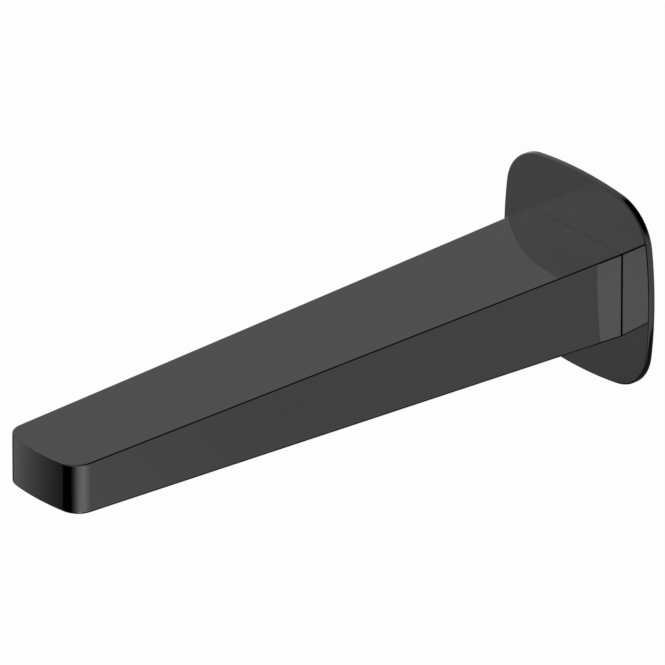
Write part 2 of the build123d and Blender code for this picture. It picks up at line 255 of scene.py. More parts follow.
def tidy(bm, limit=0.0005 * MM):
    """Merges doubles and turns the faces outwards."""
    bmesh.ops.remove_doubles(bm, verts=bm.verts, dist=limit)
    bmesh.ops.recalc_face_normals(bm, faces=bm.faces)


def spin_about_y(bm, geometry, steps):
    """Spins a profile a full turn about Y and joins its ends."""
    bmesh.ops.spin(bm, geom=geometry, cent=(0, 0, 0), axis=(0, 1, 0), angle=FULL_TURN, steps=steps,
                   use_merge=True)
    tidy(bm)


def turned(profile, steps=96):
    """A body turned about Y from (y, radius) pairs."""
    bm = bmesh.new()
    spin_about_y(bm, chain(bm, [(radius, y, 0) for y, radius in profile]), steps)
    return bm


def prism(sides, radius, y_near, y_far):
    """A prism or bar along Y with a number of sides, between two places."""
    bm = bmesh.new()
    place = Matrix.Translation((0, (y_near + y_far) / 2, 0)) @ Z_TO_Y
    bmesh.ops.create_cone(bm, cap_ends=True, segments=sides, radius1=radius, radius2=radius,
                          depth=abs(y_far - y_near), matrix=place)
    return bm


def hexagon(across_flats, y_near, y_far):
    """A hexagonal bar along Y, between two places."""
    return prism(6, across_flats / math.sqrt(3), y_near, y_far)


def block(low, high):
    """A box between two corners."""
    bm = bmesh.new()
    size = Vector(high) - Vector(low)
    place = Matrix.Translation((Vector(low) + Vector(high)) / 2) @ Matrix.Diagonal((*size, 1))
    bmesh.ops.create_cube(bm, size=1, matrix=place)
    return bm


def moved(bm, matrix):
    """The same shape at another place."""
    bmesh.ops.transform(bm, matrix=matrix, verts=bm.verts)
    return bm


def boundary(bm):
    """The open edges."""
    return [edge for edge in bm.edges if edge.is_boundary]


def swept_wall(start, moves, low, high):
    """An upright wall along lines and arcs, seen from above.

    Each move is ("line", x, y) to a point or ("arc", x, y, angle, steps) round one.
    """
    bm = bmesh.new()
    geometry = chain(bm, [(*start, low), (*start, high)])
    for kind, x, y, *turn in moves:
        if kind == "line":
            edges = [g for g in geometry if isinstance(g, bmesh.types.BMEdge)]
            made = bmesh.ops.extrude_edge_only(bm, edges=edges)
            geometry = [g for g in made["geom"] if not isinstance(g, bmesh.types.BMFace)]
            verts = [g for g in geometry if isinstance(g, bmesh.types.BMVert)]
            here = sum((v.co for v in verts), Vector()) / len(verts)
            bmesh.ops.translate(bm, verts=verts, vec=(x - here.x, y - here.y, 0))
        else:
            angle, steps = turn
            made = bmesh.ops.spin(bm, geom=geometry, cent=(x, y, 0), axis=(0, 0, 1), angle=angle, steps=steps)
            geometry = made["geom_last"]
    bmesh.ops.remove_doubles(bm, verts=bm.verts, dist=0.001 * MM)
    return bm


def cap(bm):
    """Closes the open loops with flat faces."""
    bmesh.ops.holes_fill(bm, edges=boundary(bm), sides=0)
    bmesh.ops.recalc_face_normals(bm, faces=bm.faces)


def round_edges(bm, edges, radius, segments=5):
    """Rounds edges with a true arc."""
    bmesh.ops.bevel(bm, geom=edges, offset=radius, offset_type="OFFSET", segments=segments, profile=0.5,
                    affect="EDGES", clamp_overlap=False, material=-1)


def sharp_edges(bm, angle=math.radians(40)):
    """Edges that turn more than an angle."""
    return [edge for edge in bm.edges if len(edge.link_faces) == 2 and edge.calc_face_angle(0) > angle]


def trim(bm, point, normal, **settings):
    """Cuts off what lies beyond a plane, on the side that its normal points to."""
    everything = bm.verts[:] + bm.edges[:] + bm.faces[:]
    bmesh.ops.bisect_plane(bm, geom=everything, plane_co=point, plane_no=normal, clear_outer=True, **settings)


def thread(radius, depth, pitch, start, end, steps, points=8):
    """A helical thread about Y between two places, open at both ends, with rounded crests and roots."""
    bm = bmesh.new()
    middle = radius - depth / 2
    profile = []
    for k in range(points + 1):
        wave = math.cos(FULL_TURN * k / points)
        profile.append((middle - wave * depth / 2, start - pitch * (1 - k / points), 0))
    turns = math.ceil((end - start) / pitch) + 1
    bmesh.ops.spin(bm, geom=chain(bm, profile), cent=(0, 0, 0), axis=(0, 1, 0), dvec=(0, pitch / steps, 0),
                   angle=FULL_TURN * turns, steps=steps * turns)
    bmesh.ops.remove_doubles(bm, verts=bm.verts, dist=0.002 * MM)
    trim(bm, (0, start, 0), (0, -1, 0))
    trim(bm, (0, end, 0), (0, 1, 0))
    return bm


def end_loop(bm, y, limit=0.001 * MM):
    """The open edges that lie at a place along Y."""
    return [edge for edge in boundary(bm) if all(abs(v.co.y - y) < limit for v in edge.verts)]


def close_ring(bm, y):
    """Closes the flat ring between the open loops that lie at a place along Y."""
    bmesh.ops.triangle_fill(bm, use_beauty=True, use_dissolve=False, edges=end_loop(bm, y), normal=(0, 1, 0))
    # The fill above can leave a part of the ring open, as one loop.
    bmesh.ops.holes_fill(bm, edges=end_loop(bm, y), sides=0)


def join(bm, other):
    """Adds another shape's faces to this one."""
    mesh = bpy.data.meshes.new("join")
    other.to_mesh(mesh)
    other.free()
    bm.from_mesh(mesh)
    bpy.data.meshes.remove(mesh)


def as_object(name, bm):
    """An object in the scene that holds a shape."""
    mesh = bpy.data.meshes.new(name)
    bm.to_mesh(mesh)
    bm.free()
    piece = bpy.data.objects.new(name, mesh)
    bpy.context.scene.collection.objects.link(piece)
    return piece


def cut(bm, *tools):
    """Takes shapes away from this one, one after another."""
    piece = as_object("cut", bm)
    others = []
    for tool in tools:
        other = as_object("tool", tool)
        modifier = piece.modifiers.new("cut", "BOOLEAN")
        modifier.operation = "DIFFERENCE"
        modifier.solver = "EXACT"
        modifier.object = other
        others.append(other)
    graph = bpy.context.evaluated_depsgraph_get()
    mesh = bpy.data.meshes.new_from_object(piece.evaluated_get(graph))
    result = bmesh.new()
    result.from_mesh(mesh)
    for item in [piece, *others]:
        data = item.data
        bpy.data.objects.remove(item)
        bpy.data.meshes.remove(data)
    bpy.data.meshes.remove(mesh)
    bmesh.ops.remove_doubles(result, verts=result.verts, dist=0.0005 * MM)
    return result


def finish_piece(name, bm, slot, *nodes, crease=math.radians(30), even=True):
    """Makes a finished piece that rides with the spout and stands for the CAD's node."""
    for face in bm.faces:
        face.smooth = True
    for edge in sharp_edges(bm, crease):
        edge.smooth = False
    piece = as_object(name, bm)
    piece.data.materials.append(material_for(slot))
    if even:
        modifier = piece.modifiers.new("Even shading", "WEIGHTED_NORMAL")
        modifier.keep_sharp = True
        modifier.weight = 100
    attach(piece, BODY)
    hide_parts(*nodes)


# Helpers for materials


def node_of(tree, kind, values=(), **settings):
    """A shader node with its settings and input values."""
    node = tree.nodes.new(kind)
    for key, value in settings.items():
        setattr(node, key, value)
    for key, value in dict(values).items():
        node.inputs[key].default_value = value
    return node


def wire(tree, *links):
    """Links nodes, each link given as a node, its output, the next node and its input."""
    for source, output, target, socket in links:
        tree.links.new(source.outputs[output], target.inputs[socket])


def group_of(name, inputs, outputs):
    """An empty node group with named sockets, and its input and output nodes."""
    group = bpy.data.node_groups.new(name, "ShaderNodeTree")
    for socket, kind, value in inputs:
        made = group.interface.new_socket(name=socket, in_out="INPUT", socket_type=kind)
        made.default_value = value
    for socket, kind in outputs:
        group.interface.new_socket(name=socket, in_out="OUTPUT", socket_type=kind)
    return group, group.nodes.new("NodeGroupInput"), group.nodes.new("NodeGroupOutput")


def polish_group():
    """Polish marks: a roughness that drifts, faint hairlines and a very fine ripple."""
    name = "Polish marks"
    if name in bpy.data.node_groups:
        return bpy.data.node_groups[name]
    group, given, out = group_of(
        name,
        [("Vector", "NodeSocketVector", (0, 0, 0)), ("Roughness", "NodeSocketFloat", 0.06),
         ("Drift", "NodeSocketFloat", 0.02), ("Hairlines", "NodeSocketFloat", 0.02)],
        [("Roughness", "NodeSocketFloat"), ("Height", "NodeSocketFloat")])
    cloud = node_of(group, "ShaderNodeTexNoise", {"Scale": 45.0, "Detail": 4.0, "Roughness": 0.6})
    stretch = node_of(group, "ShaderNodeMapping", {"Scale": (90.0, 2500.0, 2500.0)})
    hairline = node_of(group, "ShaderNodeTexNoise", {"Scale": 1.0, "Detail": 2.0, "Roughness": 0.5})
    rare = node_of(group, "ShaderNodeMapRange", {"From Min": 0.68, "From Max": 0.8})
    drift = node_of(group, "ShaderNodeMapRange", {"From Min": 0.35, "From Max": 0.65, **BOTH_WAYS})
    drifted = node_of(group, "ShaderNodeMath", operation="MULTIPLY_ADD")
    lined = node_of(group, "ShaderNodeMath", operation="MULTIPLY_ADD")
    ripple = node_of(group, "ShaderNodeTexNoise", {"Scale": 420.0, "Detail": 1.0})
    wire(group,
         (given, "Vector", cloud, "Vector"),
         (given, "Vector", stretch, "Vector"),
         (given, "Vector", ripple, "Vector"),
         (stretch, "Vector", hairline, "Vector"),
         (cloud, "Fac", drift, "Value"),
         (hairline, "Fac", rare, "Value"),
         (drift, "Result", drifted, 0),
         (given, "Drift", drifted, 1),
         (given, "Roughness", drifted, 2),
         (rare, "Result", lined, 0),
         (given, "Hairlines", lined, 1),
         (drifted, "Value", lined, 2),
         (lined, "Value", out, "Roughness"),
         (ripple, "Fac", out, "Height"))
    return group


def grain_group():
    """Fine moulded or cut grain: a height, and a colour that varies a little with it."""
    name = "Fine grain"
    if name in bpy.data.node_groups:
        return bpy.data.node_groups[name]
    group, given, out = group_of(
        name,
        [("Vector", "NodeSocketVector", (0, 0, 0)), ("Colour", "NodeSocketColor", (0.5, 0.5, 0.5, 1)),
         ("Size", "NodeSocketFloat", 900.0), ("Variation", "NodeSocketFloat", 0.1)],
        [("Colour", "NodeSocketColor"), ("Height", "NodeSocketFloat")])
    grain = node_of(group, "ShaderNodeTexNoise", {"Detail": 5.0, "Roughness": 0.65})
    cloud = node_of(group, "ShaderNodeTexNoise", {"Scale": 90.0, "Detail": 3.0})
    spread = node_of(group, "ShaderNodeMapRange", {"From Min": 0.3, "From Max": 0.7, **BOTH_WAYS})
    level = node_of(group, "ShaderNodeMath", operation="MULTIPLY_ADD")
    level.inputs[2].default_value = 1.0
    shade = node_of(group, "ShaderNodeVectorMath", operation="SCALE")
    wire(group,
         (given, "Vector", grain, "Vector"),
         (given, "Size", grain, "Scale"),
         (given, "Vector", cloud, "Vector"),
         (cloud, "Fac", spread, "Value"),
         (spread, "Result", level, 0),
         (given, "Variation", level, 1),
         (given, "Colour", shade, 0),
         (level, "Value", shade, "Scale"),
         (shade, "Vector", out, "Colour"),
         (grain, "Fac", out, "Height"))
    return group


def turning_group():
    """Marks left by a lathe: fine rings along Y, as a height and a change of roughness."""
    name = "Lathe marks"
    if name in bpy.data.node_groups:
        return bpy.data.node_groups[name]
    group, given, out = group_of(
        name,
        [("Vector", "NodeSocketVector", (0, 0, 0)), ("Roughness", "NodeSocketFloat", 0.25),
         ("Variation", "NodeSocketFloat", 0.1)],
        [("Roughness", "NodeSocketFloat"), ("Height", "NodeSocketFloat")])
    along = node_of(group, "ShaderNodeMapping", {"Scale": (60.0, 9000.0, 60.0)})
    rings = node_of(group, "ShaderNodeTexNoise", {"Scale": 1.0, "Detail": 3.0, "Roughness": 0.6})
    change = node_of(group, "ShaderNodeMapRange", {"From Min": 0.3, "From Max": 0.7, **BOTH_WAYS})
    level = node_of(group, "ShaderNodeMath", operation="MULTIPLY_ADD")
    wire(group,
         (given, "Vector", along, "Vector"),
         (along, "Vector", rings, "Vector"),
         (rings, "Fac", change, "Value"),
         (change, "Result", level, 0),
         (given, "Variation", level, 1),
         (given, "Roughness", level, 2),
         (level, "Value", out, "Roughness"),
         (rings, "Fac", out, "Height"))
    return group


def material_of(name, base, metallic, roughness):
    """A material with a plain shader, its object coordinates and its tree."""
    material = bpy.data.materials.new(name)
    material.use_nodes = True
    tree = material.node_tree
    shader = tree.nodes["Principled BSDF"]
    shader.inputs["Base Color"].default_value = (*base, 1)
    shader.inputs["Metallic"].default_value = metallic
    shader.inputs["Roughness"].default_value = roughness
    place = tree.nodes.new("ShaderNodeTexCoord")
    return material, tree, shader, place.outputs["Object"]


def placed_group(tree, group, vector, values):
    """A group in a material, fed with the object's coordinates and its own values."""
    node = node_of(tree, "ShaderNodeGroup", values, node_tree=group)
    tree.links.new(vector, node.inputs["Vector"])
    return node


def bump(tree, shader, height, strength, distance):
    """Gives a shader a bumped normal from a height."""
    node = node_of(tree, "ShaderNodeBump", {"Strength": strength, "Distance": distance})
    tree.links.new(height, node.inputs["Height"])
    tree.links.new(node.outputs["Normal"], shader.inputs["Normal"])


def gunmetal(name, roughness, drift, hairlines, ripple):
    """Dark polished plating with hairlines that show only in its gloss."""
    colours = bpy.context.scene.finish_colours
    material, tree, shader, vector = material_of(name, colours.gunmetal, METAL, roughness)
    marks = placed_group(tree, polish_group(), vector,
                         {"Roughness": roughness, "Drift": drift, "Hairlines": hairlines})
    tree.links.new(marks.outputs["Roughness"], shader.inputs["Roughness"])
    bump(tree, shader, marks.outputs["Height"], strength=ripple, distance=0.002 * MM)
    return material


def lathed(name, colour, roughness, variation):
    """Bare turned metal."""
    material, tree, shader, vector = material_of(name, colour, METAL, roughness)
    marks = placed_group(tree, turning_group(), vector, {"Roughness": roughness, "Variation": variation})
    tree.links.new(marks.outputs["Roughness"], shader.inputs["Roughness"])
    bump(tree, shader, marks.outputs["Height"], strength=0.5, distance=0.01 * MM)
    return material


def moulded(name, colour, roughness, size, variation, strength, depth):
    """Plastic, rubber or foam with a fine grain."""
    material, tree, shader, vector = material_of(name, colour, NOT_METAL, roughness)
    grain = placed_group(tree, grain_group(), vector,
                         {"Colour": (*colour, 1), "Size": size, "Variation": variation})
    tree.links.new(grain.outputs["Colour"], shader.inputs["Base Color"])
    bump(tree, shader, grain.outputs["Height"], strength=strength, distance=depth)
    return material


def material_for(slot):
    """The material of a slot, made once, under the slot's name in plain words."""
    name = slot.replace("_", " ")
    if name in bpy.data.materials:
        return bpy.data.materials[name]
    colours = bpy.context.scene.finish_colours
    makers = {
        "gunmetal_body": (gunmetal, dict(roughness=0.05, drift=0.015, hairlines=0.05, ripple=0.15)),
        "gunmetal_plate": (gunmetal, dict(roughness=0.045, drift=0.012, hairlines=0.05, ripple=0.12)),
        "gunmetal_ring": (gunmetal, dict(roughness=0.22, drift=0.05, hairlines=0.08, ripple=0.3)),
        "raw_brass": (lathed, dict(colour=colours.brass, roughness=0.24, variation=0.1)),
        "screw_steel": (lathed, dict(colour=colours.steel, roughness=0.3, variation=0.12)),
        "screen_steel": (lathed, dict(colour=colours.steel, roughness=0.35, variation=0.15)),
        "seal_rubber": (moulded, dict(colour=colours.rubber, roughness=0.55, size=1500.0, variation=0.2,
                                      strength=0.4, depth=0.02 * MM)),
        "foam": (moulded, dict(colour=colours.foam, roughness=0.9, size=1800.0, variation=0.35,
                               strength=0.9, depth=0.12 * MM)),
        "aerator_plastic": (moulded, dict(colour=colours.insert, roughness=0.4, size=2500.0, variation=0.04,
                                          strength=0.3, depth=0.01 * MM)),
        "grille_plastic": (moulded, dict(colour=colours.grille, roughness=0.35, size=2500.0, variation=0.12,
                                         strength=0.3, depth=0.01 * MM)),
    }
    maker, values = makers[slot]
    return maker(name, **values)


def dress(node):
    """Gives a carried-over solid the material of its own slot."""
    slots = {part["node"]: part["material_slot"] for part in frame["record"]["subparts"]}
    solid = frame["nodes"][node]
    solid.data.materials.clear()
    solid.data.materials.append(material_for(slots[node]))


# The body's shape


def underside_slope(sizes):
    """Rise of the underside towards the nose, for each unit along Y."""
    return (sizes.root_height - sizes.nose_height) / (sizes.root_y - sizes.nose_y)


def underside_z(sizes, y):
    """Height of the underside at a place along Y."""
    return sizes.top_z - sizes.root_height + underside_slope(sizes) * (sizes.root_y - y)


def skin_z(sizes, y):
    """Height of the underside's skin at a place along Y."""
    return underside_z(sizes, y) - sizes.lower_edge_drop


def side_taper(sizes):
    """How far each side draws in towards the nose, for each unit along Y."""
    return (sizes.root_width - sizes.nose_width) / 2 / (sizes.root_y - sizes.nose_y)


def half_width(sizes, y):
    """Half the body's width at a place along Y."""
    return sizes.root_width / 2 - side_taper(sizes) * (sizes.root_y - y)


def outlet_place(sizes, aerator):
    """The outlet's own frame: on the underside, with +Y square to it and up."""
    y = sizes.nose_y + aerator.from_nose
    tilt = math.atan(underside_slope(sizes))
    return Matrix.Translation((0, y, underside_z(sizes, y))) @ Matrix.Rotation(-tilt, 4, "X") @ Y_TO_Z


def nose_corner(sizes):
    """The arc of the nose's corner on the -X side.

    Gives the arc's centre, its angles where it meets the side and the bow, and the bow's centre.
    """
    taper = side_taper(sizes)
    side_normal = Vector((-1, -taper)).normalized()
    radius = sizes.nose_corner_radius
    bow_centre = Vector((0, sizes.nose_y + sizes.nose_bow_radius))
    on_side = Vector((-sizes.root_width / 2, sizes.root_y)) - side_normal * radius
    along = Vector((taper, -1)).normalized()
    to_bow = on_side - bow_centre
    reach = sizes.nose_bow_radius - radius
    middle = to_bow.dot(along)
    step = -middle + math.sqrt(middle * middle - to_bow.length_squared + reach * reach)
    centre = on_side + along * step
    side_angle = math.atan2(side_normal.y, side_normal.x)
    bow_direction = centre - bow_centre
    bow_angle = math.atan2(bow_direction.y, bow_direction.x)
    return centre, side_angle, bow_angle, bow_centre


def lies_at_root_top(sizes, edge, limit=0.01 * MM):
    """Whether an edge is the one where the top face meets the plate."""
    return all(abs(v.co.y - sizes.root_y) < limit and abs(v.co.z - sizes.top_z) < limit for v in edge.verts)


def lies_round_underside(sizes, edge, limit=0.01 * MM):
    """Whether an edge runs round the underside, apart from the one at the plate."""
    on_underside = all(abs(v.co.z - skin_z(sizes, v.co.y)) < limit for v in edge.verts)
    return on_underside and any(v.co.y < sizes.root_y - limit for v in edge.verts)


def spout_shell(sizes):
    """The body's outer form: tapering sides, a bowed nose with round corners, and a rising underside."""
    centre, side_angle, bow_angle, bow_centre = nose_corner(sizes)
    radius = sizes.nose_corner_radius
    corner_steps = 28
    bow_steps = 40
    corner_turn = (bow_angle - side_angle) % FULL_TURN
    bow_turn = 2 * (-math.pi / 2 - bow_angle)
    half_root = half_width(sizes, sizes.root_y)
    tangent = centre + radius * Vector((math.cos(side_angle), math.sin(side_angle)))
    moves = [
        ("line", tangent.x, tangent.y),
        ("arc", centre.x, centre.y, corner_turn, corner_steps),
        ("arc", bow_centre.x, bow_centre.y, bow_turn, bow_steps),
        ("arc", -centre.x, centre.y, corner_turn, corner_steps),
        ("line", half_root, sizes.root_y),
        ("line", -half_root, sizes.root_y),
    ]
    # The wall reaches well below the underside, which a plane then cuts.
    bm = swept_wall((-half_root, sizes.root_y), moves, sizes.top_z - 2 * sizes.root_height, sizes.top_z)
    cap(bm)
    underside_normal = Vector((0, -underside_slope(sizes), -1)).normalized()
    trim(bm, (0, sizes.root_y, skin_z(sizes, sizes.root_y)), underside_normal, dist=0.0001 * MM)
    cap(bm)
    round_underside = [e for e in sharp_edges(bm) if lies_round_underside(sizes, e)]
    round_edges(bm, round_underside, sizes.lower_edge_radius, segments=10)
    round_edges(bm, [e for e in sharp_edges(bm) if not lies_at_root_top(sizes, e)], sizes.edge_radius)
    root_top = [e for e in sharp_edges(bm) if lies_at_root_top(sizes, e)]
    round_edges(bm, root_top, sizes.joint_radius, segments=2)
    return bm


def waterway(sizes, aerator):
    """The main waterway, one wall inside the body."""
    near = -sizes.socket_end
    far = sizes.nose_y + aerator.from_nose + aerator.thread_radius + aerator.boss_wall
    # Each corner of a plain block then goes to its place inside the body.
    bm = block((-1, far, -1), (1, near, 1))
    for vert in bm.verts:
        reach = half_width(sizes, vert.co.y) - sizes.wall
        low = underside_z(sizes, vert.co.y) + sizes.wall
        vert.co.x = math.copysign(reach, vert.co.x)
        vert.co.z = sizes.top_z - sizes.wall if vert.co.z > 0 else low
    long_edges = [e for e in bm.edges if abs(e.verts[0].co.y - e.verts[1].co.y) > sizes.wall]
    round_edges(bm, long_edges, sizes.waterway_corner_radius, segments=8)
    return bm


def outlet_tools(sizes, aerator):
    """What is cut away at the outlet: the threaded bore, the chamber over it and the slot that feeds it."""
    place = outlet_place(sizes, aerator)
    chamfer = sizes.hole_chamfer
    bore = turned([(-aerator.seat, 0), (-aerator.seat, aerator.thread_radius + chamfer),
                   (0, aerator.thread_radius + chamfer), (chamfer, aerator.thread_radius),
                   (aerator.seat, aerator.thread_radius), (aerator.seat, 0)], steps=128)
    bowl = moved(prism(96, aerator.chamber_radius, aerator.seat / 2, 2 * sizes.root_height), place)
    roof = sizes.top_z - aerator.chamber_roof
    trim(bowl, (0, 0, roof), (0, 0, 1))
    cap(bowl)
    outlet_y = sizes.nose_y + aerator.from_nose
    floor = underside_z(sizes, outlet_y) + aerator.seat + aerator.seat_land
    waterway_end = outlet_y + aerator.thread_radius + aerator.boss_wall
    slot = block((-aerator.chamber_radius, outlet_y, floor),
                 (aerator.chamber_radius, waterway_end + sizes.wall / 2, roof))
    return [moved(bore, place), bowl, slot]


def grub_hole(sizes):
    """The upright hole for the grub screw, with a broken edge at its mouth."""
    mouth = -underside_z(sizes, -sizes.grub_at)
    chamfer = sizes.hole_chamfer
    radius = sizes.grub_hole_radius
    tool = turned([(0, 0), (0, radius), (mouth - chamfer, radius), (mouth, radius + chamfer),
                   (2 * mouth, radius + chamfer), (2 * mouth, 0)], steps=48)
    return moved(tool, Matrix.Translation((0, -sizes.grub_at, 0)) @ Z_TO_Y)


class SPOUT_OT_body(bpy.types.Operator):
    """Adds the cast spout body."""

    bl_idname = "spout.body"
    bl_label = "Spout body"

    def execute(self, context):
        sizes = context.scene.spout_body
        aerator = context.scene.aerator
        shell = spout_shell(sizes)
        socket = prism(96, sizes.socket_radius, 0, -sizes.socket_end - sizes.wall / 2)
        tapped = []
        for x in (-sizes.screw_offset, sizes.screw_offset):
            hole = prism(32, sizes.screw_hole_radius, 0, -sizes.screw_hole_depth)
            tapped.append(moved(hole, Matrix.Translation((x, 0, 0))))
        outlet = outlet_tools(sizes, aerator)
        bm = cut(shell, waterway(sizes, aerator), socket, *outlet, grub_hole(sizes), *tapped)
        finish_piece("spout_body_shell", bm, "gunmetal_body", "spout_body")
        return {"FINISHED"}


# The wall plate and its gasket


def plate_moves(sizes, inset):
    """Start and moves of an outline in the XY plane: the plate's, or one that lies inside it by an inset."""
    bow = sizes.side_bow_radius - inset
    away = sizes.side_bow_radius - sizes.side / 2
    reach = sizes.side_bow_radius - sizes.corner_radius
    # A corner's centre lies on the diagonal, one reach from the centres of both bows that it joins.
    middle = (-away + math.sqrt(2 * reach * reach - away * away)) / 2
    side_steps = 24
    corner_steps = 32
    side_turn = 2 * math.atan2(middle, middle + away)
    corner_turn = math.pi / 2 - side_turn
    first = -side_turn / 2
    start = (-away + bow * math.cos(first), bow * math.sin(first))
    moves = []
    for quarter in range(4):
        turn = Matrix.Rotation(quarter * math.pi / 2, 2)
        bow_centre = turn @ Vector((-away, 0))
        corner_centre = turn @ Vector((middle, middle))
        moves.append(("arc", *bow_centre, side_turn, side_steps))
        moves.append(("arc", *corner_centre, corner_turn, corner_steps))
    return start, moves


def plate_block(sizes, inset, y_near, y_far):
    """A slab with the plate's outline, between two places along Y."""
    start, moves = plate_moves(sizes, inset)
    bm = swept_wall(start, moves, -y_near, -y_far)
    cap(bm)
    return moved(bm, Y_TO_Z)


def gasket_band(sizes, y_near, y_far):
    """The gasket's square ring, between two places along Y."""
    inner_inset = sizes.gasket_from_edge + sizes.gasket_width
    outer = plate_block(sizes, sizes.gasket_from_edge, y_near, y_far)
    margin = sizes.gasket_thickness
    return cut(outer, plate_block(sizes, inner_inset, y_near + margin, y_far - margin))


def countersink(screws, x):
    """The hole in the plate for a countersunk screw."""
    gap = screws.hole_gap
    head_y = -screws.set_back
    neck_y = head_y - screws.head_height
    head_radius = screws.head_radius + gap
    shank_radius = screws.shank_radius + gap
    profile = [(screws.length, 0), (screws.length, head_radius), (head_y, head_radius),
               (neck_y, shank_radius), (-screws.length, shank_radius), (-screws.length, 0)]
    return moved(turned(profile, steps=48), Matrix.Translation((x, 0, 0)))


class SPOUT_OT_wall_plate(bpy.types.Operator):
    """Adds the square cover plate."""

    bl_idname = "spout.wall_plate"
    bl_label = "Wall plate"

    def execute(self, context):
        sizes = context.scene.wall_plate
        screws = context.scene.plate_screws
        offset = context.scene.spout_body.screw_offset
        plate = plate_block(sizes, 0, 0, -sizes.thickness)
        front = [e for e in sharp_edges(plate) if e.verts[0].co.y < -sizes.thickness / 2]
        # Two flat steps keep the lamps' glints off this edge.
        round_edges(plate, front, sizes.front_edge_radius, segments=2)
        back = [e for e in sharp_edges(plate) if e.verts[0].co.y > -sizes.thickness / 2]
        round_edges(plate, back, sizes.back_edge_radius)
        hole = prism(96, sizes.hole_radius, sizes.thickness, -2 * sizes.thickness)
        band = gasket_band(sizes, sizes.thickness, -sizes.gasket_thickness)
        bm = cut(plate, hole, band, countersink(screws, -offset), countersink(screws, offset))
        finish_piece("wall_plate_shell", bm, "gunmetal_plate", "wall_plate")
        return {"FINISHED"}


class SPOUT_OT_gasket(bpy.types.Operator):
    """Adds the foam gasket behind the plate."""

    bl_idname = "spout.gasket"
    bl_label = "Plate gasket"

    def execute(self, context):
        sizes = context.scene.wall_plate
        bm = gasket_band(sizes, 0, -sizes.gasket_thickness)
        back = [e for e in sharp_edges(bm) if e.verts[0].co.y > -sizes.gasket_thickness / 2]
        round_edges(bm, back, sizes.gasket_edge_radius, segments=3)
        finish_piece("plate_gasket_foam", bm, "foam", "plate_gasket")
        return {"FINISHED"}


# Screws


def take_down_crests(bm, radius, end, chamfer):
    """Takes a thread's crests down to a chamfer at its end."""
    for vert in bm.verts:
        limit = radius - max(0.0, vert.co.y - (end - chamfer))
        here = math.hypot(vert.co.x, vert.co.z)
        if here > limit:
            vert.co.x *= limit / here
            vert.co.z *= limit / here


def threaded_rod(radius, pitch, end, steps, chamfer):
    """A threaded rod about Y from zero to its end, open at zero."""
    bm = thread(radius, THREAD_DEPTH * pitch, pitch, 0, end, steps, points=6)
    take_down_crests(bm, radius, end, chamfer)
    bmesh.ops.holes_fill(bm, edges=end_loop(bm, end), sides=0)
    return bm


class SPOUT_OT_plate_screws(bpy.types.Operator):
    """Adds the two countersunk screws of the plate."""

    bl_idname = "spout.plate_screws"
    bl_label = "Plate screws"

    def execute(self, context):
        sizes = context.scene.plate_screws
        offset = context.scene.spout_body.screw_offset
        head_y = -sizes.set_back
        neck_y = head_y - sizes.head_height
        end_y = head_y - sizes.length
        edge = sizes.head_edge
        both = bmesh.new()
        for x in (-offset, offset):
            # The neck is a little wider than the crests, so that the ring between them can be closed.
            profile = [(head_y, 0), (head_y, sizes.head_radius - edge), (head_y - edge, sizes.head_radius),
                       (neck_y, sizes.shank_radius + edge / 2)]
            head = turned(profile, steps=64)
            rod = threaded_rod(sizes.shank_radius, sizes.pitch, neck_y - end_y, steps=32, chamfer=2 * edge)
            join(head, moved(rod, Matrix.Translation((0, neck_y, 0)) @ Matrix.Rotation(math.pi, 4, "Z")))
            close_ring(head, neck_y)
            tidy(head)
            screw = cut(head, hexagon(sizes.key, 0, head_y - sizes.key_depth))
            join(both, moved(screw, Matrix.Translation((x, 0, 0))))
        finish_piece("plate_screw_pair", both, "screw_steel", "plate_screws")
        return {"FINISHED"}


class SPOUT_OT_grub_screw(bpy.types.Operator):
    """Adds the grub screw under the body's root."""

    bl_idname = "spout.grub_screw"
    bl_label = "Grub screw"

    def execute(self, context):
        sizes = context.scene.plate_screws
        low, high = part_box("grub_screw")
        length = high.z - low.z
        rod = threaded_rod(sizes.grub_radius, sizes.grub_pitch, length, steps=48, chamfer=sizes.grub_chamfer)
        cap(rod)
        key = hexagon(sizes.grub_key, length + sizes.grub_key_depth, length - sizes.grub_key_depth)
        screw = cut(rod, key)
        place = Matrix.Translation((0, (low.y + high.y) / 2, high.z)) @ Z_TO_Y
        finish_piece("grub_screw_threaded", moved(screw, place), "screw_steel", "grub_screw")
        return {"FINISHED"}


# The inlet nipple and its rings


